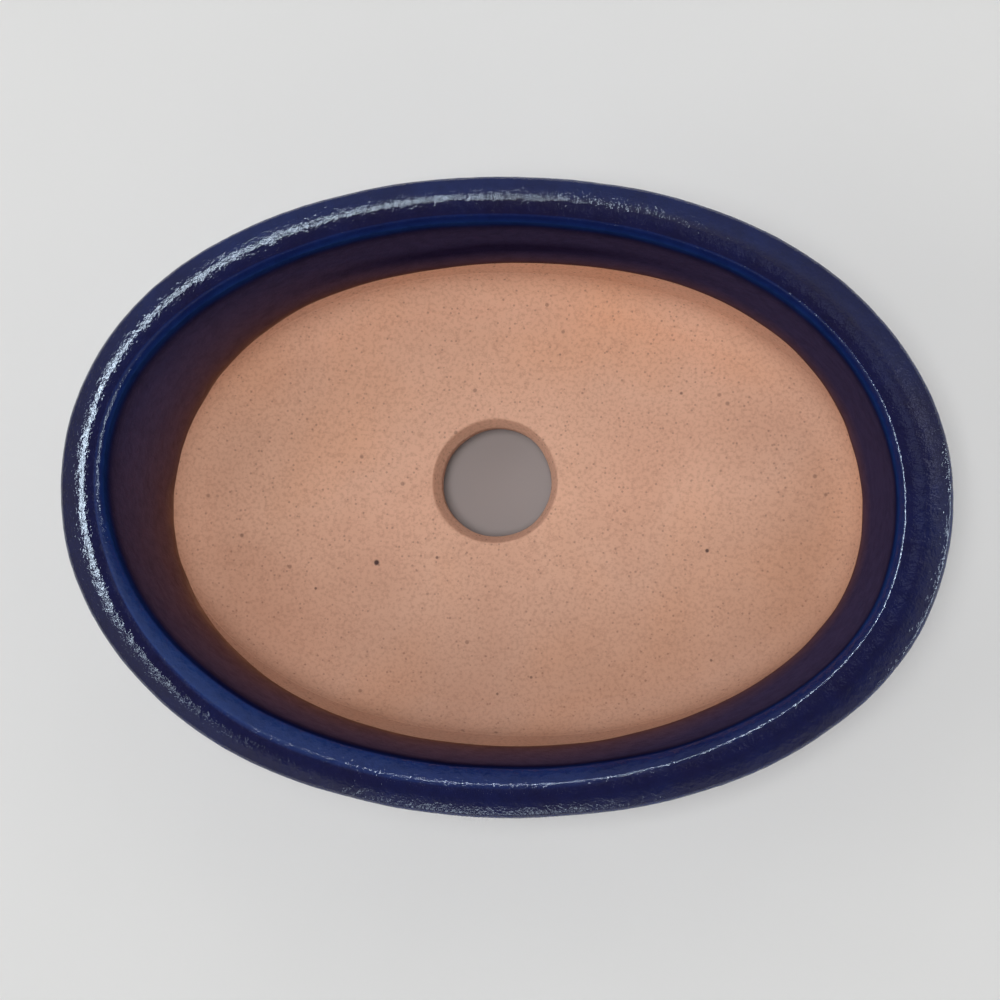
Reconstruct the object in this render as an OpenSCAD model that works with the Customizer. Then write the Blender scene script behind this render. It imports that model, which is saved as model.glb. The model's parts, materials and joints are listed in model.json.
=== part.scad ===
// Oval bonsai pot, slab-built in stoneware. A floor slab with one drain hole carries a leaning
// wall, a coil is pressed into the corner between them, a rolled lip sits on the wall, and four
// feet are luted under the slab. One coat of glaze runs from just above the feet, up the
// outside, over the lip and part of the way down the inside.
//
// Millimetres, +Z up, long axis along X. The origin is the middle of the pot's footprint, on the
// surface that it stands on. Sections are drawn as [x, z], where x = 0 is the outermost edge of
// the glazed lip and negative x is towards the middle of the pot.

/* [Pot] */
// Length over the lip
pot_length = 170; // [164:1:178]
// Width over the lip
pot_width = 122; // [118:1:125]
// Height from the soles of the feet to the top of the lip
pot_height = 50; // [46:1:60]

/* [Oval] */
// Radius of the arc at each end of the oval, at the edge of the lip
end_radius = 49; // [48:0.5:51]

/* [Wall and floor] */
// Thickness of the wall, measured level
wall_thickness = 4.6; // [4:0.2:5.4]
// Thickness of the floor slab
floor_thickness = 6.5; // [5:0.5:8]
// How far the edge of the floor slab stands in from the edge of the lip
base_inset = 12.6; // [11:0.2:14]
// How far the wall bows outwards between its foot and its head
wall_bow = 1; // [0.2:0.1:1.6]
// Height of the coil pressed into the inside corner
coil_height = 5; // [4:0.5:7]

/* [Lip] */
// Height of the lip
lip_height = 8.9; // [8:0.1:9.6]
// Radius of the lip's upper, outer round
lip_round = 5.7; // [5:0.1:6]
// How far the lip overhangs the glazed wall below it
lip_overhang = 5.4; // [4.8:0.1:6]
// Width of the lip, from its outer edge to its inner edge
lip_width = 10; // [9.4:0.1:10.4]

/* [Feet] */
// Height of the feet
foot_height = 6; // [4:0.5:9]
// Width of a foot where it meets the slab
foot_width = 11; // [9:0.5:12]
// Length of a foot where it meets the slab
foot_length = 28; // [20:1:32]
// How much further in a foot's sole stands than its top, all round
foot_batter = 1.5; // [0.5:0.1:2]

/* [Drain hole] */
// Diameter of the hole through the lower part of the slab
hole_diameter = 22.6; // [16:0.2:28]
// Diameter of the hole at the top of the slab, where its mouth is worn wider
mouth_diameter = 25.4; // [20:0.2:32]
// Place of the hole along the pot's length, from the middle
hole_x = -4.1; // [-8:0.1:8]
// Place of the hole across the pot's width, from the middle
hole_y = 4.6; // [-8:0.1:8]

/* [Glaze] */
// Thickness of the glaze
glaze_thickness = 0.4; // [0.3:0.05:0.6]
// Height of bare wall left inside, between the corner coil and the glaze
bare_wall = 4.5; // [2:0.5:9]
// Height of bare clay left outside, between the slab's underside and the glaze
bare_edge = 2.5; // [2:0.5:4]

/* [Hidden] */
$fn = 144;

clay_color = [0.76, 0.56, 0.45];
glaze_color = [0.09, 0.12, 0.30];

half_length = pot_length / 2;
half_width = pot_width / 2;
floor_top = foot_height + floor_thickness;
lip_seat = pot_height - lip_height + glaze_thickness;
base_rounding = 1.5;
hole_straight = 3;  // height of the true cylinder at the bottom of the drain hole
overcut = 1;        // how far a cutting shape runs past what it cuts

// ---- The oval -------------------------------------------------------------------------------
// A quarter of the oval is three arcs that meet tangentially: an end arc, a middle arc and a side
// arc. They meet in the directions 4:3 and 7:24, whose sines and cosines are exact decimals, so
// the centres are exact too and neighbouring arcs of a swept piece meet face to face. The end
// arc's radius is given. The other two follow from the oval's length and width:
//   0.80 (middle - end) + 0.28 (side - middle) = half_length - end
//   0.40 (middle - end) + 0.04 (side - middle) = half_width - end

end_stop = [0.8, 0.6];
side_start = [0.28, 0.96];
length_left = half_length - end_radius;
width_left = half_width - end_radius;
middle_radius = end_radius + 3.5 * width_left - 0.5 * length_left;
side_radius = middle_radius + 5 * length_left - 10 * width_left;

end_centre = [length_left, 0];
middle_centre = end_centre - (middle_radius - end_radius) * end_stop;
side_centre = middle_centre - (side_radius - middle_radius) * side_start;

reach = 1.5 * pot_length;  // how far the wedge that cuts out one arc's share reaches
spare = 15;                // how much further than its own share each arc is turned, in degrees

function direction(way) = atan2(way.y, way.x);
function mirrored(way) = [-way.x, way.y];

// One arc's share of a ring that has the given section: turned about the arc's centre, and cut
// out by a wedge whose sides are the two directions in which the arc meets its neighbours.
module share(centre, radius, from, to, section) {
    first = direction(from);
    turn = direction(to) - first;
    intersection() {
        translate([centre.x, centre.y, 0])
            rotate_extrude(start = first - spare, angle = turn + 2 * spare)
                translate([radius, 0])
                    polygon(section);
        translate([0, 0, -overcut])
            linear_extrude(pot_height + 2 * overcut)
                polygon([centre, centre + reach * from, centre + reach * to]);
    }
}

// Sweeps a section all round the oval: two end arcs, four middle arcs and two side arcs.
module around(section) {
    for (half = [0, 180]) rotate([0, 0, half]) {
        share(end_centre, end_radius, [end_stop.x, -end_stop.y], end_stop, section);
        share(middle_centre, middle_radius, end_stop, side_start, section);
        share(side_centre, side_radius, side_start, mirrored(side_start), section);
        share(mirrored(middle_centre), middle_radius, mirrored(side_start), mirrored(end_stop),
            section);
    }
}

// The points of a quarter of the oval, at a given depth inside its edge
function quarter(depth) = [
    [half_length - depth, 0],
    end_centre + (end_radius - depth) * end_stop,
    middle_centre + (middle_radius - depth) * side_start,
    [0, half_width - depth]
];

// ---- Sections -------------------------------------------------------------------------------

function arc(centre, radius, from, to, steps) = [
    for (i = [0 : steps])
        let (angle = from + (to - from) * i / steps)
        centre + radius * [cos(angle), sin(angle)]
];

function reversed(points) = [for (i = [len(points) - 1 : -1 : 0]) points[i]];

// Levels from one height to another, both included
function levels(from, to, steps) = [for (i = [0 : steps]) from + (to - from) * i / steps];

// The outer face of the clay, from the slab's underside up to the lip's seat
wall_head = -lip_overhang - glaze_thickness;
function wall_out(z) =
    let (t = (z - foot_height) / (lip_seat - foot_height))
    -base_inset + (wall_head + base_inset) * t + 4 * wall_bow * t * (1 - t);

function outer_face(z) = [wall_out(z), z];
function inner_face(z) = [wall_out(z) - wall_thickness, z];

glaze_foot = foot_height + bare_edge;
coil_top = floor_top + coil_height;
glaze_hem = coil_top + bare_wall;

slab_band = 30;  // width of the swept outer band of the slab
slab_core = 22;  // depth at which the plain middle of the slab ends, inside that band
slab_edge = concat(
    arc(outer_face(foot_height + base_rounding) - [base_rounding, 0], base_rounding, -90, 0, 4),
    [outer_face(glaze_foot), outer_face(floor_top)]
);
slab_section = concat(slab_edge, [[-slab_band, floor_top], [-slab_band, foot_height]]);
slab_quarter = quarter(slab_core);
slab_half = concat(slab_quarter, [for (i = [2, 1]) mirrored(slab_quarter[i])]);
slab_middle = concat(slab_half, [for (p = slab_half) -p]);
wall_outside = [for (z = levels(floor_top, lip_seat, 6)) outer_face(z)];
wall_inside_low = [inner_face(floor_top), inner_face(coil_top), inner_face(glaze_hem)];
wall_inside_high = [for (z = levels(glaze_hem, lip_seat, 3)) inner_face(z)];

// The lip's clay, from the wall's outer face round to its inner face: an underside, a lower
// outer round, a large upper round, a tight inner corner, and a slope that turns into the wall
lower_round = lip_height - lip_round;
crown_stop = 110;    // direction that the crown faces where the inner corner begins
inner_corner = 1.1;  // radius of that corner, in the clay
slope_faces = 144;   // direction that the slope inside the corner faces
toe_round = 2.5;     // radius with which the slope turns down into the wall
widest_level = pot_height - lip_round;
crown_radius = lip_round - glaze_thickness;
crown_centre = [-lip_round, widest_level];
corner_centre = crown_centre + (crown_radius - inner_corner) * [cos(crown_stop), sin(crown_stop)];
slope_way = [cos(slope_faces), sin(slope_faces)];
slope_start = corner_centre + inner_corner * slope_way;
toe_x = toe_round - lip_width - glaze_thickness;
slope_run = slope_start.x - toe_x - toe_round * slope_way.x;
toe_centre = [toe_x, slope_start.y + slope_run * slope_way.x / slope_way.y - toe_round * slope_way.y];
lip_outline = concat(
    arc([-lower_round, widest_level], lower_round - glaze_thickness, -90, 0, 5),
    arc(crown_centre, crown_radius, 6, crown_stop, 10),
    arc(corner_centre, inner_corner, crown_stop + 12, slope_faces, 2),
    arc(toe_centre, toe_round, slope_faces, 180, 3)
);

// The coil's face is a hollow quarter-round, tangent to the floor and to the wall's lowest strip
coil_lean = atan2(
    inner_face(coil_top).x - inner_face(floor_top).x,
    coil_height
);
coil_radius = coil_height / (1 - sin(coil_lean));
coil_centre = [inner_face(coil_top).x - coil_radius * cos(coil_lean), floor_top + coil_radius];

// A coat on a section's outline, raised along the outline's own normals
function unit(v) = v / norm(v);
function along(path, i) = unit(path[min(i + 1, len(path) - 1)] - path[max(i - 1, 0)]);
function raised(path, height) = [
    for (i = [0 : len(path) - 1])
        let (way = along(path, i))
        path[i] + height * [way.y, -way.x]
];
function coat(path, height) = concat(path, reversed(raised(path, height)));

// ---- Pieces ---------------------------------------------------------------------------------

module floor_slab() {
    color(clay_color) difference() {
        union() {
            around(slab_section);
            translate([0, 0, foot_height]) linear_extrude(floor_thickness) polygon(slab_middle);
        }
        translate([hole_x, hole_y, foot_height]) {
            translate([0, 0, -overcut])
                cylinder(d = hole_diameter, h = floor_thickness + 2 * overcut);
            translate([0, 0, hole_straight])
                cylinder(d1 = hole_diameter, d2 = mouth_diameter, h = floor_thickness - hole_straight);
        }
    }
}

module corner_coil() {
    face = arc(coil_centre, coil_radius, -90, -coil_lean, 8);
    color(clay_color) around(concat([inner_face(floor_top)], reversed(face)));
}

module wall() {
    inside = concat(wall_inside_low, [for (i = [1 : len(wall_inside_high) - 1]) wall_inside_high[i]]);
    color(clay_color) around(concat(wall_outside, reversed(inside)));
}

module lip() {
    color(clay_color) around(concat([outer_face(lip_seat)], lip_outline, [inner_face(lip_seat)]));
}

// A foot is a short bar that follows the middle arc of its quarter of the oval. Its sides lean in
// towards the sole, and its two ends are cut round by one cone.
foot_way = [0.6, 0.8];  // halfway between the directions in which the middle arc stops
foot_line = middle_radius - base_inset - base_rounding - foot_width / 2;
foot_centre = middle_centre + foot_line * foot_way;

module foot(x_side, y_side) {
    sole_half = foot_width / 2 - foot_batter;
    turn = 2 * foot_length / foot_line * 180 / PI;
    color(clay_color)
        mirror([x_side < 0 ? 1 : 0, 0, 0]) mirror([0, y_side < 0 ? 1 : 0, 0])
        intersection() {
            translate([middle_centre.x, middle_centre.y, 0])
                rotate_extrude(start = direction(foot_way) - turn / 2, angle = turn)
                    translate([foot_line, 0])
                        polygon([
                            [-sole_half, 0], [sole_half, 0],
                            [foot_width / 2, foot_height], [-foot_width / 2, foot_height]
                        ]);
            translate([foot_centre.x, foot_centre.y, 0])
                cylinder(d1 = foot_length - 2 * foot_batter, d2 = foot_length, h = foot_height);
        }
}

module glaze_coat() {
    outside = concat([outer_face(glaze_foot)], wall_outside);
    inside = reversed(wall_inside_high);
    color(glaze_color) around(coat(concat(outside, lip_outline, inside), glaze_thickness));
}

floor_slab();
corner_coil();
wall();
lip();
foot(-1, -1);  // foot_front_left
foot(1, -1);  // foot_front_right
foot(-1, 1);  // foot_back_left
foot(1, 1);  // foot_back_right
glaze_coat();
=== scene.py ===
"""Oval bonsai pot: glossy blue glaze over bare, speckled clay. Lengths are in millimetres until a
mesh, a light or the camera is made. Directions round the pot are in degrees, counterclockwise
seen from above, with 0 along +X."""

import json
import math

import bmesh
import bpy
import numpy as np
from mathutils import Euler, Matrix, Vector


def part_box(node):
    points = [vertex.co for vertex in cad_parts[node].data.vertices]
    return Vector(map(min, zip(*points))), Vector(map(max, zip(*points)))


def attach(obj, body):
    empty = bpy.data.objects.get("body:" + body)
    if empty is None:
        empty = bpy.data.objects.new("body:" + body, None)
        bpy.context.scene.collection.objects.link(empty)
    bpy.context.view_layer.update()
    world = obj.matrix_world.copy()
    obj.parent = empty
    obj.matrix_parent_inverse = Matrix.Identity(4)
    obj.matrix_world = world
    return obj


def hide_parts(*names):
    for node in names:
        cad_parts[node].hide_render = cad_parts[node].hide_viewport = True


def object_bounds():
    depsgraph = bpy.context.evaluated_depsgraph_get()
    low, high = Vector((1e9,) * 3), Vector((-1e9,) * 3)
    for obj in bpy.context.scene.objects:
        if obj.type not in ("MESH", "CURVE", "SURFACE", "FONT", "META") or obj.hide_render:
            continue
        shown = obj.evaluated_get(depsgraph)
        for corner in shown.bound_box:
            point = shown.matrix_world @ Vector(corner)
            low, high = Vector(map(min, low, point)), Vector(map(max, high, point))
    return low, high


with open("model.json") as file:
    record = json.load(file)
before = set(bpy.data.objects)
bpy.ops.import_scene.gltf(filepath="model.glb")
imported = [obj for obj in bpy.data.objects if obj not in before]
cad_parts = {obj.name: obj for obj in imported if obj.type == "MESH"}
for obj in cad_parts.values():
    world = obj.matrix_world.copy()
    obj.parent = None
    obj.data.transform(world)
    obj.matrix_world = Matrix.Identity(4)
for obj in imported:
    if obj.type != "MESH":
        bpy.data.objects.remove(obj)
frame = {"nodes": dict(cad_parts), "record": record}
cad_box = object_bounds()

MM = 0.001
TAU = 2 * math.pi
LO, HI = (np.array(c) / MM for c in cad_box)
HALF_LENGTH, HALF_WIDTH = (HI[:2] - LO[:2]) / 2
TOP = HI[2]


def cad_levels(node):
    """The lowest and highest level of a CAD node."""
    low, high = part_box(node)
    return low.z / MM, high.z / MM


def mount(name):
    return next(m for m in frame["record"]["mounts"] if m["name"] == name)


SLAB_BOTTOM, FLOOR = cad_levels("floor_slab")
COIL_TOP = cad_levels("corner_coil")[1]
HEAD = cad_levels("wall")[1]
GLAZE_FOOT = cad_levels("glaze_coat")[0]
HOLE = np.array(mount("drain_hole")["pos_m"][:2]) / MM
HOLE_R = mount("drain_hole")["dims"]["r_mm"]

# ---- The even section. u is the distance out from the oval's edge, so it is mostly negative. ----

WALL = 4.6
BASE_INSET = 12.6
WALL_HEAD_U = -5.8
WALL_BOW = 1.0
GLAZE = 0.4
BASE_ROUND = 1.5
MOUTH_R = HOLE_R + 1.4

COLS = 960
PHI = np.arange(COLS) * TAU / COLS
COS, SIN = np.cos(PHI), np.sin(PHI)


def wave(order, amount, at_degrees):
    """A pattern of `order` crests round the pot, one of them in the given direction."""
    return amount * np.cos(order * (PHI - math.radians(at_degrees)))


def bump_at(direction, width, amount=1.0):
    """A smooth hump in the direction given, of the given half-width, both in degrees."""
    off = (np.degrees(PHI) - direction + 180) % 360 - 180
    return amount * np.exp(-0.5 * (off / width) ** 2)


def smooth(x):
    x = np.clip(x, 0, 1)
    return x * x * (3 - 2 * x)


def wall_out(z):
    t = (z - SLAB_BOTTOM) / (HEAD - SLAB_BOTTOM)
    return -BASE_INSET + (WALL_HEAD_U + BASE_INSET) * t + 4 * WALL_BOW * t * (1 - t)


def wall_in(z):
    return wall_out(z) - WALL


# ---- The oval -----------------------------------------------------------------------------------
# A superellipse a little fuller than an ellipse, given by its support function, so that every
# inner line of the pot is a parallel of its edge.

FULLNESS = 2.084
POWER = FULLNESS / (FULLNESS - 1)
ax, by = HALF_LENGTH * np.abs(COS), HALF_WIDTH * np.abs(SIN)
SUPPORT = (ax**POWER + by**POWER) ** (1 / POWER)
EDGE_X = SUPPORT ** (1 - POWER) * ax ** (POWER - 1) * HALF_LENGTH * np.sign(COS)
EDGE_Y = SUPPORT ** (1 - POWER) * by ** (POWER - 1) * HALF_WIDTH * np.sign(SIN)


def place(u, z):
    """Points of the pot's grid for arrays u and z, each rows x COLS."""
    u, z = np.broadcast_arrays(np.asarray(u, float), np.asarray(z, float))
    return np.stack([EDGE_X + u * COS, EDGE_Y + u * SIN, z], axis=-1)


def rows(values):
    """A column of values as rows that are the same all round the pot."""
    return np.repeat(np.asarray(values, float)[:, None], COLS, axis=1)


def arc(centre, radius, start, stop, steps):
    a = np.radians(np.linspace(start, stop, steps + 1))
    return [(centre[0] + radius * math.cos(t), centre[1] + radius * math.sin(t)) for t in a]


# ---- Unevenness of handwork ---------------------------------------------------------------------


def lumps(points, wavelength, seed, waves=24):
    """Smooth noise of about unit size over points in space."""
    rng = np.random.default_rng(seed)
    way = rng.normal(size=(waves, 3))
    way /= np.linalg.norm(way, axis=1)[:, None]
    way *= TAU / (wavelength * rng.uniform(0.75, 1.5, waves))[:, None]
    phase = rng.uniform(0, TAU, waves)
    total = np.zeros(points.shape[:-1])
    for w, p in zip(way, phase):
        total += np.cos(points @ w + p)
    return total / math.sqrt(waves / 2)


def settled(points):
    """Moves points by the pot's own unevenness, which is the same for the clay and the glaze."""
    out = points.copy()
    side = 0.06 * lumps(points, 42, 11) + 0.03 * lumps(points, 15, 12)
    up = 0.05 * lumps(points, 46, 13) + 0.025 * lumps(points, 14, 14)
    calm = np.clip(points[..., 2] / 4, 0, 1)
    out[..., 0] += side * calm * COS[:: COLS // points.shape[1]]
    out[..., 1] += side * calm * SIN[:: COLS // points.shape[1]]
    out[..., 2] += up * calm
    return out


# LIP_WIDTH, HEM_LEVEL and the wave terms of EDGE, of LIP_IN and of HEM's first line come from a fit
# to the outlines in the photo, rounded, and for EDGE trimmed a little. The rest was set one by one.
LIP_WIDTH = 9.7
HEM_LEVEL = 19.7
# How far the lip's outer edge strays from the even oval
EDGE = wave(2, 0.26, -40) + wave(4, 0.15, -23) - 0.16 - bump_at(165, 15, 0.5)
EDGE = EDGE - bump_at(98, 16, 0.55) - bump_at(215, 13, 0.25) + bump_at(298, 18, 0.3)
# Depth of the lip's inner edge inside the even oval
LIP_IN = LIP_WIDTH - wave(1, 0.2, -153) - wave(2, 0.6, -53) - wave(3, 0.3, 53) - wave(4, 0.25, -26)
# How far round the front the lip's inner side is one broad slope
BROAD = bump_at(258, 34)
# How far round the left its ridges stand further in
INWARD = bump_at(182, 42)
# Level of the glaze's hem inside, with one heavy run at the back
HEM = HEM_LEVEL + wave(2, 5.1, 83) + wave(3, 0.3, 58) + wave(4, 0.8, -14) + wave(5, 0.6, -20)
HEM = HEM - bump_at(90, 14, 1.4) - bump_at(174, 16, 1.0) - bump_at(98, 5, 1.1)
HEM = HEM + wave(17, 0.12, 10) + wave(29, 0.08, 4)
# How far up the wall the thin glaze above the hem reaches, as a factor
FADE = 0.6 + bump_at(205, 42, 2.2) + bump_at(125, 18, 0.7) + bump_at(270, 25, 0.3) - bump_at(85, 16, 0.1)


# ---- The lip's upper side -----------------------------------------------------------------------
# Walked from the outer edge to the inner one. Each stretch has a length, the directions that it
# faces at its start and end (90 faces out, 0 up, -90 in towards the pot), and its steps. The
# stretches in WITH_WIDTH grow and shrink with the lip's width.

LIP_STRETCHES = [
    (1.5, 90, 52, 10),
    (0.6, 52, 32, 9),
    (1.2 + 1.1 * INWARD, 32, 28, 7),
    (1.8 - 0.9 * BROAD, 28, 22, 9),
    (1.6 - 0.2 * BROAD, 22, 15 - 3 * BROAD, 10),
    (0.9, 15 - 3 * BROAD, 5 - 7 * BROAD, 7),
    (2.6 - 1.0 * BROAD - 0.9 * INWARD, 5 - 7 * BROAD, -9 - 8 * BROAD, 12),
    (1.0, -9 - 8 * BROAD, -50 + 15 * BROAD, 12),
    (0.9 + 2.6 * BROAD, -50 + 15 * BROAD, -62 + 14 * BROAD, 12),
    (1.6, -62 + 14 * BROAD, -93, 11),
]
WITH_WIDTH = (3, 4, 6, 8)
# Room left below the CAD's top for the unevenness that is added later
TOP_ROOM = 0.16


def lip_top():
    """The lip's upper side, as rows of u and z."""
    runs, climbs, stretch_of = [], [], []
    for number, (length, start, stop, steps) in enumerate(LIP_STRETCHES):
        for k in range(steps):
            face = np.radians(start + (stop - start) * smooth((k + 0.5) / steps) + 0 * PHI)
            step = length / steps + 0 * PHI
            runs.append(step * np.cos(face))
            climbs.append(step * np.sin(face))
            stretch_of.append(number)
    runs, climbs = np.array(runs), np.array(climbs)
    grows = np.isin(stretch_of, WITH_WIDTH)
    factor = (LIP_IN + EDGE - runs[~grows].sum(axis=0)) / runs[grows].sum(axis=0)
    runs[grows] *= factor
    climbs[grows] *= factor
    u = np.concatenate([EDGE[None], EDGE - np.cumsum(runs, axis=0)])
    z = np.concatenate([0 * PHI[None], np.cumsum(climbs, axis=0)])
    return u, z + (TOP - TOP_ROOM - z.max(axis=0))


# ---- Meshes -------------------------------------------------------------------------------------


def new_piece(name, mesh):
    piece = bpy.data.objects.new(name, mesh)
    bpy.context.scene.collection.objects.link(piece)
    return piece


def torus_mesh(name, points, facts=None):
    """A closed mesh from a grid that wraps both ways. points is rows x columns x 3, in mm."""
    n, m = points.shape[:2]
    index = np.arange(n * m).reshape(n, m)
    a, b = index, np.roll(index, -1, axis=1)
    c, d = np.roll(b, -1, axis=0), np.roll(index, -1, axis=0)
    faces = np.stack([a, b, c, d], axis=-1).reshape(-1, 4)
    mesh = bpy.data.meshes.new(name)
    mesh.vertices.add(n * m)
    mesh.vertices.foreach_set("co", (points * MM).astype(np.float32).ravel())
    mesh.loops.add(faces.size)
    mesh.loops.foreach_set("vertex_index", faces.astype(np.int32).ravel())
    mesh.polygons.add(len(faces))
    mesh.polygons.foreach_set("loop_start", np.arange(0, faces.size, 4, dtype=np.int32))
    mesh.polygons.foreach_set("loop_total", np.full(len(faces), 4, dtype=np.int32))
    mesh.update(calc_edges=True)
    for key, values in (facts or {}).items():
        layer = mesh.attributes.new(key, "FLOAT", "POINT")
        layer.data.foreach_set("value", values.astype(np.float32).ravel())
    mesh.validate()
    mesh.shade_smooth()
    return new_piece(name, mesh)


def outward(piece):
    """Turns the faces to look outwards."""
    bm = bmesh.new()
    bm.from_mesh(piece.data)
    bmesh.ops.recalc_face_normals(bm, faces=bm.faces)
    if bm.calc_volume(signed=True) < 0:
        bmesh.ops.reverse_faces(bm, faces=bm.faces)
    bm.to_mesh(piece.data)
    bm.free()


def finish_piece(piece, node, material):
    outward(piece)
    piece.data.materials.append(material)
    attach(piece, "root")
    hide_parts(node)


# ---- Materials ----------------------------------------------------------------------------------


class Nodes:
    """A short way to write a material's nodes. Coordinates are the object's own, in metres."""

    def __init__(self, name):
        self.material = bpy.data.materials.new(name)
        self.material.use_nodes = True
        self.tree = self.material.node_tree
        self.tree.nodes.clear()
        out = self.add("ShaderNodeOutputMaterial")
        self.shader = self.add("ShaderNodeBsdfPrincipled")
        self.tree.links.new(self.shader.outputs["BSDF"], out.inputs["Surface"])
        self.place = self.add("ShaderNodeTexCoord").outputs["Object"]

    def add(self, kind, **settings):
        node = self.tree.nodes.new(kind)
        for key, value in settings.items():
            setattr(node, key, value)
        return node

    def put(self, value, socket):
        """A number, a colour or another node's output into a socket."""
        if isinstance(value, bpy.types.NodeSocket):
            self.tree.links.new(value, socket)
        elif isinstance(value, tuple) and len(socket.default_value) == 4:
            socket.default_value = (*value, 1.0)
        else:
            socket.default_value = value

    def noise(self, scale, detail=3.0, roughness=0.5, distortion=0.0):
        node = self.add("ShaderNodeTexNoise")
        for key, value in zip(
            ("Scale", "Detail", "Roughness", "Distortion"), (scale, detail, roughness, distortion)
        ):
            node.inputs[key].default_value = value
        self.put(self.place, node.inputs["Vector"])
        return node.outputs["Fac"]

    def cells(self, scale):
        """The distance to the nearest of many scattered points, and that point's own number."""
        node = self.add("ShaderNodeTexVoronoi")
        node.inputs["Scale"].default_value = scale
        self.put(self.place, node.inputs["Vector"])
        return node.outputs["Distance"], node.outputs["Color"]

    def fact(self, name):
        return self.add("ShaderNodeAttribute", attribute_name=name).outputs["Fac"]

    def ramp(self, source, stops, interpolation="LINEAR"):
        node = self.add("ShaderNodeValToRGB")
        node.color_ramp.interpolation = interpolation
        points = node.color_ramp.elements
        while len(points) < len(stops):
            points.new(0.5)
        for point, (where, color) in zip(points, stops):
            point.position = where
            point.color = (*color, 1.0) if isinstance(color, tuple) else (color, color, color, 1.0)
        self.put(source, node.inputs["Fac"])
        return node.outputs["Color"]

    def mix(self, factor, a, b, kind="MIX"):
        node = self.add("ShaderNodeMix", data_type="RGBA", blend_type=kind)
        self.put(factor, node.inputs[0])
        self.put(a, node.inputs[6])
        self.put(b, node.inputs[7])
        return node.outputs[2]

    def math(self, operation, a, b=0.0, clamp=False):
        node = self.add("ShaderNodeMath", operation=operation, use_clamp=clamp)
        self.put(a, node.inputs[0])
        self.put(b, node.inputs[1])
        return node.outputs[0]

    def parts(self):
        node = self.add("ShaderNodeSeparateXYZ")
        self.put(self.place, node.inputs[0])
        return node.outputs

    def spot(self, at, radius):
        """1 inside a small ball round a point given in mm, fading to 0 at its edge."""
        node = self.add("ShaderNodeVectorMath", operation="DISTANCE")
        self.put(self.place, node.inputs[0])
        node.inputs[1].default_value = [c * MM for c in at]
        away = self.math("DIVIDE", node.outputs["Value"], radius * MM)
        return self.ramp(away, [(0.55, 1.0), (1.0, 0.0)])

    def bump(self, height, distance, strength=1.0, normal=None):
        """distance is in mm."""
        node = self.add("ShaderNodeBump")
        node.inputs["Strength"].default_value = strength
        node.inputs["Distance"].default_value = distance * MM
        self.put(height, node.inputs["Height"])
        if normal is not None:
            self.put(normal, node.inputs["Normal"])
        return node.outputs["Normal"]

    def finish(self, color, roughness, normal):
        self.put(color, self.shader.inputs["Base Color"])
        self.put(roughness, self.shader.inputs["Roughness"])
        self.put(normal, self.shader.inputs["Normal"])
        return self.material


def srgb(r, g, b):
    """A colour given as 8-bit display values, as the shader's linear values."""
    return tuple(
        c / 12.92 if c <= 0.04045 else ((c + 0.055) / 1.055) ** 2.4
        for c in (r / 255, g / 255, b / 255)
    )


# Iron specks in the floor's clay: x and y in mm, set against the photo, then radius in mm
# and how strong
IRON_SPECKS = [
    ((-28.0, -12.8), 0.7, 0.95),
    ((-15.5, -11.4), 0.4, 0.7),
    ((2.6, -10.6), 0.3, 0.6),
    ((4.7, -35.2), 0.35, 0.6),
    ((-2.1, -38.8), 0.35, 0.6),
    ((39.6, -8.4), 0.5, 0.85),
    ((33.5, 23.5), 0.4, 0.6),
    ((-56.5, -8.0), 0.5, 0.5),
    ((41.0, -30.5), 0.35, 0.6),
    ((-40.5, -18.5), 0.35, 0.7),
    ((8.5, 31.0), 0.3, 0.5),
]


GROG = srgb(104, 70, 58)
IRON = srgb(58, 34, 32)


def clay_material():
    """Bare stoneware: warm, mottled, with fine dark grog and a few larger iron specks. `shade` and
    `ends` paint on how the photo's light falls off towards the front and the oval's two ends."""
    n = Nodes("bare_clay")
    broad = n.noise(24, 2, 0.5, 0.4)
    patch = n.noise(95, 3, 0.6)
    grain = n.noise(1500, 2, 0.6)
    tones = [(0.3, srgb(222, 170, 143)), (0.5, srgb(227, 177, 150)), (0.72, srgb(229, 173, 141))]
    color = n.ramp(broad, tones)
    blotches = n.ramp(patch, [(0.3, (0.90, 0.88, 0.86)), (0.65, (1.0, 1.0, 1.0))])
    color = n.mix(0.5, color, blotches, "MULTIPLY")
    sand = n.ramp(grain, [(0.25, (0.70, 0.66, 0.64)), (0.55, (1.0, 1.0, 1.0))])
    color = n.mix(0.7, color, sand, "MULTIPLY")
    east, north, _ = n.parts()
    lean = n.math("ADD", n.math("MULTIPLY", north, 3.4), n.math("MULTIPLY", east, -0.3))
    shade = n.ramp(n.math("ADD", lean, 0.5), [(0.36, 0.65), (0.50, 0.97), (0.62, 0.95)])
    color = n.mix(1.0, color, shade, "MULTIPLY")
    ends = n.ramp(n.math("MULTIPLY", n.math("ABSOLUTE", east), 10.0), [(0.4, 1.0), (0.6, 0.87)])
    color = n.mix(1.0, color, ends, "MULTIPLY")
    for scale, share, strength in ((1050, 0.30, 0.42), (560, 0.09, 0.5)):
        away, number = n.cells(scale)
        near = n.ramp(away, [(0.16, 1.0), (0.30, 0.0)])
        chosen = n.ramp(number, [(0.0, 1.0), (share, 0.0)], "CONSTANT")
        dot = n.math("MULTIPLY", n.math("MULTIPLY", near, chosen), strength)
        color = n.mix(dot, color, GROG)
    for at, radius, strength in IRON_SPECKS:
        dot = n.math("MULTIPLY", n.spot((*at, FLOOR), radius), strength)
        color = n.mix(dot, color, IRON)
    normal = n.bump(n.noise(160, 3, 0.6), 0.12, 0.5)
    normal = n.bump(grain, 0.05, 0.8, normal)
    n.shader.inputs["Specular IOR Level"].default_value = 0.3
    return n.finish(color, 0.85, normal)


# How far above its hem the glaze is thin, in mm
THIN_REACH = 16.0


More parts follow.
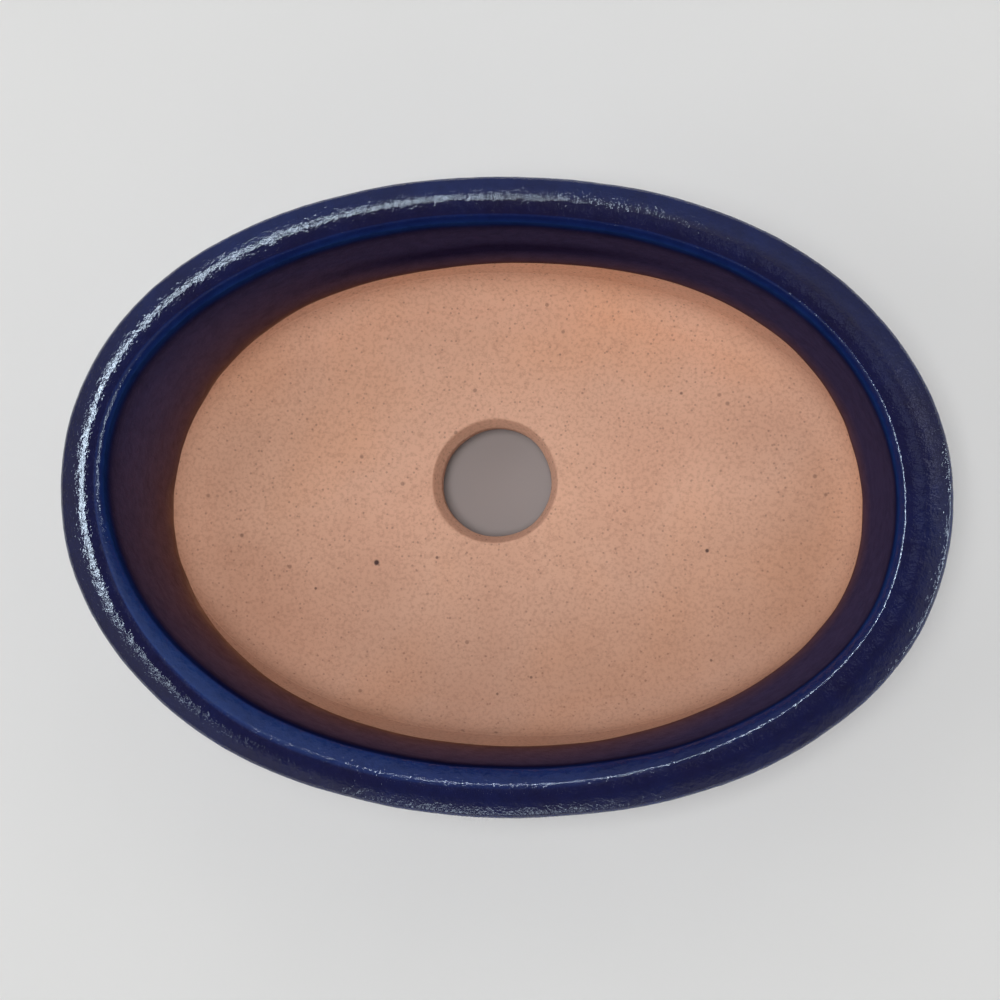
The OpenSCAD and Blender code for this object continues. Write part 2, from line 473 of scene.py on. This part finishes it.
def glaze_material():
    """Cobalt glaze: dark navy where it runs thin over the ridges, blue where it pools, with painted
    light making it lighter on the back band and the inner slope, purple and then brown where it thins
    out above its hem, darker on runs and painted shade. The mesh says how far each point is from the
    hem, and how much glaze has pooled there with the painted light added."""
    n = Nodes("blue_glaze")
    cloud = n.noise(70, 3, 0.55)
    mottle = n.noise(420, 3, 0.6)
    # The pool fact is pooled glaze plus painted light on the back band and the inner slope
    pool_and_painted_light = n.math("ADD", n.fact("pool_and_painted_light"), n.math("MULTIPLY", n.math("SUBTRACT", cloud, 0.5), 0.5), True)
    blue = n.ramp(
        pool_and_painted_light,
        [
            (0.0, (0.008, 0.005, 0.027)),
            (0.35, (0.006, 0.010, 0.062)),
            (0.7, (0.008, 0.022, 0.115)),
            (1.0, (0.012, 0.036, 0.155)),
        ],
    )
    wander = n.math("MULTIPLY", n.math("SUBTRACT", n.noise(110, 2, 0.5), 0.5), 1.6)
    up = n.math("DIVIDE", n.math("ADD", n.fact("hem"), wander), THIN_REACH, True)
    thin = n.ramp(
        up,
        [
            (0.0, (0.32, 0.17, 0.11)),
            (0.05, (0.18, 0.085, 0.063)),
            (0.12, (0.125, 0.060, 0.062)),
            (0.25, (0.105, 0.057, 0.080)),
            (0.45, (0.078, 0.048, 0.085)),
            (0.8, (0.052, 0.040, 0.095)),
        ],
    )
    # Darker on a glaze run at the back, and painted shade just under the lip at the front
    thin = n.mix(n.fact("run_and_shade"), thin, (0.018, 0.012, 0.038))
    color = n.mix(n.ramp(n.fact("lip"), [(0.0, 0.0), (1.0, 1.0)]), thin, blue)
    color = n.mix(0.5, color, n.ramp(mottle, [(0.3, 0.65), (0.6, 1.0)]), "MULTIPLY")
    normal = n.bump(n.noise(850, 3, 0.6), 0.17, 1.0)
    normal = n.bump(n.noise(2400, 1, 0.5), 0.03, 1.0, normal)
    roughness = n.ramp(mottle, [(0.3, 0.04), (0.7, 0.11)])
    n.put(n.ramp(n.fact("gloss"), [(0.0, 0.0), (1.0, 0.47)]), n.shader.inputs["Specular IOR Level"])
    return n.finish(color, roughness, normal)


CLAY = clay_material()
BLUE = glaze_material()

# ---- The glaze's surface, from its foot outside, over the lip, to its hem inside ------------------

top_u, top_z = lip_top()
# Where the lip's underside meets the wall, and the fillet between them
UNDERSIDE = -3.0
FILLET = 1.0
# The glaze's thickness at its two ends, and how far it takes to reach its full thickness
FILM = 0.02
HEM_TAPER = 3.0
FOOT_TAPER = 1.6
# How far the coat's back lies inside the clay
BURIED = 0.15
foot_line = GLAZE_FOOT + 0.25 + wave(3, 0.12, 20) + wave(11, 0.08, 0) + wave(7, 0.06, 33)
climb = smooth(np.linspace(0, 1, 60))[:, None]
outer_z = foot_line + (HEAD - FILLET - foot_line) * climb
outer_u = wall_out(outer_z) + GLAZE
wall_head = wall_out(HEAD - FILLET) + GLAZE
fillet = np.array(arc((wall_head + FILLET, HEAD - FILLET), FILLET, 180, 90, 7)[1:])
turn = np.radians(np.linspace(-90, 0, 17)[:-1])[:, None]
under_u = UNDERSIDE + (EDGE - UNDERSIDE) * np.cos(turn)
under_z = top_z[0] + (top_z[0] - HEAD) * np.sin(turn)
toe_u, toe_z = top_u[-1], top_z[-1]
LIP_SHIFT = toe_u - (wall_in(toe_z) - GLAZE)


def inner_shift(z):
    """How far the inner wall stands from the even section, so that it meets the lip's edge."""
    return LIP_SHIFT * smooth((z - 25) / (HEAD - 25))


down = np.linspace(0, 1, 91)[1:, None]
inner_z = toe_z + (HEM - toe_z) * down
inner_u = wall_in(inner_z) - GLAZE + inner_shift(inner_z)

skin_u = np.concatenate([outer_u, rows(fillet[:, 0]), under_u, top_u, inner_u])
skin_z = np.concatenate([outer_z, rows(fillet[:, 1]), under_z, top_z, inner_z])
du, dz = np.gradient(skin_u, axis=0), np.gradient(skin_z, axis=0)
size = np.hypot(du, dz)
nu, nz = dz / size, -du / size
step = np.hypot(np.diff(skin_u, axis=0, prepend=skin_u[:1]), np.diff(skin_z, axis=0, prepend=skin_z[:1]))
from_foot = np.cumsum(step, axis=0)
from_hem = from_foot[-1] - from_foot
lip_first = len(outer_u) + len(fillet)
lip_last = lip_first + len(under_u) + len(top_u)
clay_u, clay_z = skin_u - nu * GLAZE, skin_z - nz * GLAZE


def taper(distance, over):
    t = np.clip(distance / over, 0, 1)
    return 1 - (1 - t) ** 2


def glaze_facts():
    """For each row and column: distance from the hem, share of lip colour, pooling with painted
    light, gloss and dark runs with painted shade. `faces` is the direction that the skin faces: 90
    out, 0 up, -90 in. The steep inner wall gets no gloss, so that it doesn't mirror the clay floor."""
    faces = np.degrees(np.arctan2(nu, nz))
    back = bump_at(92, 34)
    rim = smooth((faces - 42) / 22)
    band = smooth((faces - 12) / 12) * (1 - rim)
    slope = smooth((-faces - 12 + 4 * BROAD) / 14)
    corner = smooth((-faces - 52) / 24)
    # Painted light: the band at the back and the inner slope towards 228 degrees get a lighter blue, as
    # light falls there; the rest follows how the skin faces, where glaze pools
    pool_and_painted_light = 0.18 + 0.55 * rim + (0.05 + 0.28 * back) * band
    pool_and_painted_light = pool_and_painted_light + (0.32 + bump_at(228, 26, 0.5)) * slope * (1 - corner)
    pool_and_painted_light = pool_and_painted_light + (0.75 - 0.55 * BROAD) * corner
    below = from_foot - from_foot[lip_last - 1]
    lip_share = smooth(1 - (below - 0.5) / 6.0)
    pool_and_painted_light = pool_and_painted_light * smooth(1 - (below + 0.5) / 5.0)
    gloss = smooth((faces + 66 - 24 * back) / 20)
    # Painted shade: the mark at 266 degrees, just under the lip, stands in for the lip's shadow; the one
    # at 92 degrees is a glaze run, and the back wall is a little darker all over
    runs = bump_at(92, 13, 0.85) * np.exp(-(((from_hem - 9) / 3) ** 2))
    runs = runs + bump_at(266, 13, 0.9) * np.exp(-(((from_hem - 19) / 3) ** 2)) + bump_at(92, 30, 0.3)
    return from_hem / FADE, lip_share, pool_and_painted_light, gloss, np.clip(runs, 0, 1)


def glaze_coat():
    full = taper(from_hem, HEM_TAPER) * taper(from_foot, FOOT_TAPER)
    thickness = FILM + (GLAZE - 2 * FILM) * full
    outer = place(clay_u + nu * thickness, clay_z + nz * thickness)
    peel = 0.010 * lumps(outer, 2.4, 21, 40) + 0.008 * lumps(outer, 7, 22, 30)
    peel = peel * taper(from_hem, HEM_TAPER)
    outer = outer + peel[..., None] * np.stack([nu * COS, nu * SIN, nz], axis=-1)
    keep = np.unique(np.append(np.arange(0, len(clay_u), 3), len(clay_u) - 1))[::-1]
    inner = place(clay_u - nu * BURIED, clay_z - nz * BURIED)[keep]
    facts = {
        key: np.concatenate([values, values[keep]])
        for key, values in zip(("hem", "lip", "pool_and_painted_light", "gloss", "run_and_shade"), glaze_facts())
    }
    piece = torus_mesh("blue_glaze_coat", settled(np.concatenate([outer, inner])), facts)
    finish_piece(piece, "glaze_coat", BLUE)


def lip():
    """The lip's clay, wholly under the glaze."""
    over = slice(lip_first, lip_last)
    u = np.concatenate([rows([wall_out(HEAD)]), clay_u[over], [wall_in(HEAD) + inner_shift(HEAD)]])
    z = np.concatenate([rows([HEAD]), clay_z[over], rows([HEAD])])
    piece = torus_mesh("lip_clay", settled(place(u, z)[:, ::2]))
    finish_piece(piece, "lip", CLAY)


def wall():
    z = np.linspace(FLOOR, HEAD, 60)
    back = rows(z[::-1])
    u = np.concatenate([rows(wall_out(z)), wall_in(back) + inner_shift(back)])
    piece = torus_mesh("wall_clay", settled(place(u, np.concatenate([rows(z), back]))[:, ::2]))
    finish_piece(piece, "wall", CLAY)


# The coil's face is a hollow quarter-round, tangent to the floor and to the wall
lean = math.atan2(wall_in(COIL_TOP) - wall_in(FLOOR), COIL_TOP - FLOOR)
coil_r = (COIL_TOP - FLOOR) / (1 - math.sin(lean))
coil_centre = (wall_in(COIL_TOP) - coil_r * math.cos(lean), FLOOR + coil_r)
COIL_FACE = np.array(arc(coil_centre, coil_r, -math.degrees(lean), -90, 28))
COIL_TOE = COIL_FACE[-1, 0]


def corner_coil():
    back = [
        (COIL_TOE, FLOOR - 0.6),
        (wall_in(FLOOR) - 0.2, FLOOR - 0.6),
        (wall_in(FLOOR) + 0.8, FLOOR + 0.4),
        (wall_in(COIL_TOP) + 0.5, COIL_TOP),
    ]
    loop = np.concatenate([COIL_FACE, np.array(back)])
    loop[len(COIL_FACE) - 1, 1] -= 0.02
    piece = torus_mesh("corner_coil_clay", settled(place(rows(loop[:, 0]), rows(loop[:, 1]))[:, ::2]))
    finish_piece(piece, "corner_coil", CLAY)


def ring_at(radius, z):
    """A ring round the drain hole, slightly uneven, as a wire cuts it."""
    r = radius + wave(2, 0.08, 20) + wave(3, 0.06, 75) + wave(7, 0.03, 0)
    return np.stack([HOLE[0] + r * COS, HOLE[1] + r * SIN, np.full(COLS, z)], axis=-1)


def oval_at(u, z):
    return place(rows([u]), rows([z]))[0]


def between(a, b, steps):
    """Rings from a to b, b included and a left out."""
    return [a + (b - a) * (k / steps) for k in range(1, steps + 1)]


def floor_slab():
    """The slab, walked from the hole's mouth out over the floor, round the edge and back below."""
    mouth = ring_at(MOUTH_R + 0.55, FLOOR)
    loop = [mouth] + between(mouth, oval_at(COIL_TOE, FLOOR), 110)
    loop += [oval_at(wall_in(FLOOR), FLOOR), oval_at(wall_out(FLOOR), FLOOR)]
    corner = SLAB_BOTTOM + BASE_ROUND
    side = [(wall_out(z), z) for z in np.linspace(FLOOR, corner, 12)[1:]]
    side += arc((wall_out(corner) - BASE_ROUND, corner), BASE_ROUND, -8, -90, 8)
    loop += [oval_at(u, z) for u, z in side]
    loop += between(loop[-1], ring_at(HOLE_R + 0.5, SLAB_BOTTOM), 50)
    loop += [ring_at(HOLE_R + 0.15, SLAB_BOTTOM + 0.12), ring_at(HOLE_R, SLAB_BOTTOM + 0.45)]
    loop += between(loop[-1], ring_at(HOLE_R, SLAB_BOTTOM + 3), 6)
    loop += between(loop[-1], ring_at(MOUTH_R - 0.1, FLOOR - 0.6), 8)
    loop += [ring_at(MOUTH_R + 0.08, FLOOR - 0.28), ring_at(MOUTH_R + 0.28, FLOOR - 0.07)]
    points = np.array(loop)
    even = smooth((np.arange(len(points)) - 80) / 30)[:, None]
    dips = 0.07 * lumps(points, 26, 31) + 0.03 * lumps(points, 9, 32) - 0.05
    points[..., 2] += np.where(np.isclose(points[..., 2], FLOOR), dips * (1 - even) - 0.01 * even, 0)
    piece = torus_mesh("floor_slab_clay", settled(points[:, ::2]))
    finish_piece(piece, "floor_slab", CLAY)


SOFT_EDGE = 0.7


def foot(name):
    """A CAD foot with its edges softened, as fingers leave them."""
    cad = frame["nodes"][name]
    rough = new_piece(name + "_rough", cad.data.copy())
    rough.matrix_world = cad.matrix_world.copy()
    edges = rough.modifiers.new("edges", "BEVEL")
    edges.width, edges.segments = SOFT_EDGE * MM, 4
    edges.limit_method, edges.angle_limit = "ANGLE", math.radians(40)
    bpy.context.view_layer.update()
    mesh = bpy.data.meshes.new_from_object(rough.evaluated_get(bpy.context.evaluated_depsgraph_get()))
    mesh.transform(rough.matrix_world)
    bpy.data.objects.remove(rough)
    mesh.materials.clear()
    mesh.shade_smooth()
    finish_piece(new_piece(name + "_clay", mesh), name, CLAY)


glaze_coat()
lip()
wall()
corner_coil()
floor_slab()
for foot_name in ("foot_front_left", "foot_front_right", "foot_back_left", "foot_back_right"):
    foot(foot_name)

# ---- Stage --------------------------------------------------------------------------------------


def studio_floor():
    """A pale floor, with painted shade under the pot that shows through the drain hole."""
    n = Nodes("studio_floor")
    n.shader.inputs["Specular IOR Level"].default_value = 0.1
    cloth = n.noise(9, 3, 0.6)
    color = n.ramp(cloth, [(0.3, srgb(225, 225, 224)), (0.7, srgb(228, 228, 227))])
    reach = n.add("ShaderNodeVectorMath", operation="LENGTH")
    n.put(n.place, reach.inputs[0])
    # Painted shade: darker under the pot, where light can't reach
    painted_shade_under_pot = n.ramp(n.math("DIVIDE", reach.outputs["Value"], 60 * MM), [(0.5, 1.0), (0.8, 0.0)])
    color = n.mix(painted_shade_under_pot, color, srgb(159, 149, 147))
    bpy.ops.mesh.primitive_plane_add(size=6, location=(0, 0, 0))
    ground = bpy.context.object
    ground.name = "studio_floor"
    ground.data.materials.append(n.finish(color, 0.8, n.bump(n.noise(900), 0.02, 0.3)))


def softbox(name, azimuth, elevation, distance, width, height, radiance, color=(1, 1, 1)):
    """A rectangular light that looks at the pot. Angles in degrees, lengths in metres."""
    data = bpy.data.lights.new(name, "AREA")
    data.shape = "RECTANGLE"
    data.size, data.size_y = width, height
    data.energy = radiance * math.pi * width * height
    data.color = color
    light = new_piece(name, data)
    a, e = math.radians(azimuth), math.radians(elevation)
    light.location = distance * Vector((math.cos(e) * math.cos(a), math.cos(e) * math.sin(a), math.sin(e)))
    light.rotation_euler = (-light.location).to_track_quat("-Z", "Y").to_euler()
    return light


def room():
    """Pale walls all round, and a darker ceiling that leans towards the front."""
    world = bpy.data.worlds.new("studio")
    world.use_nodes = True
    tree = world.node_tree
    back = tree.nodes["Background"]
    coords = tree.nodes.new("ShaderNodeTexCoord")
    dot = tree.nodes.new("ShaderNodeVectorMath")
    dot.operation = "DOT_PRODUCT"
    dot.inputs[1].default_value = Vector((0.05, -0.25, 1.0)).normalized()
    ramp = tree.nodes.new("ShaderNodeValToRGB")
    stops = [(0.0, 0.55), (0.3, 0.65), (0.55, 1.0), (0.80, 0.25), (1.0, 0.15)]
    while len(ramp.color_ramp.elements) < len(stops):
        ramp.color_ramp.elements.new(0.5)
    for point, (where, value) in zip(ramp.color_ramp.elements, stops):
        point.position = where
        point.color = (value, value, value, 1)
    tree.links.new(coords.outputs["Generated"], dot.inputs[0])
    tree.links.new(dot.outputs["Value"], ramp.inputs["Fac"])
    tree.links.new(ramp.outputs["Color"], back.inputs["Color"])
    back.inputs["Strength"].default_value = 0.6
    bpy.context.scene.world = world


studio_floor()
for lamp in (
    softbox("overhead", -75, 87, 1.2, 0.36, 0.36, 20.5),
    softbox("window_fill", 188, 34, 1.3, 0.7, 0.4, 2.0),
    softbox("back_fill", 100, 34, 0.6, 0.4, 0.25, 0.6),
):
    lamp.visible_glossy = False
DAYLIGHT = (0.70, 0.85, 1)
for glint in (
    softbox("window_far", 202, 42, 1.3, 0.60, 0.06, 20, DAYLIGHT),
    softbox("window_left", 172, 43, 1.3, 0.68, 0.26, 26, DAYLIGHT),
    softbox("window_middle", 142, 45, 1.3, 0.68, 0.10, 32, DAYLIGHT),
    softbox("window_back", 112, 47, 1.3, 0.62, 0.02, 120, DAYLIGHT),
    softbox("strip_front", 264, 17, 1.3, 0.4, 0.1, 11, DAYLIGHT),
    softbox("strip_right", 18, 40, 1.3, 0.4, 0.14, 2.0, (0.62, 0.66, 1)),
    softbox("strip_low", -8, 8, 1.3, 1.0, 0.1, 26, DAYLIGHT),
    softbox("ceiling", 36, 72, 1.3, 0.5, 0.4, 0.7, (0.6, 0.68, 1)),
):
    glint.visible_diffuse = False
room()
bpy.context.scene.view_settings.view_transform = "Standard"

# ---- Camera: its place, angles and lens were fitted to the photo's view --------------------------

cam_data = bpy.data.cameras.new("camera")
cam_data.sensor_width = 36
cam_data.lens = 75.46
cam_data.clip_start, cam_data.clip_end = 0.01, 50
camera = new_piece("camera", cam_data)
camera.location = (0.0444, -0.0265, 0.4384)
camera.rotation_euler = Euler([math.radians(a) for a in (3.85, 6.21, 1.93)])
bpy.context.scene.camera = camera
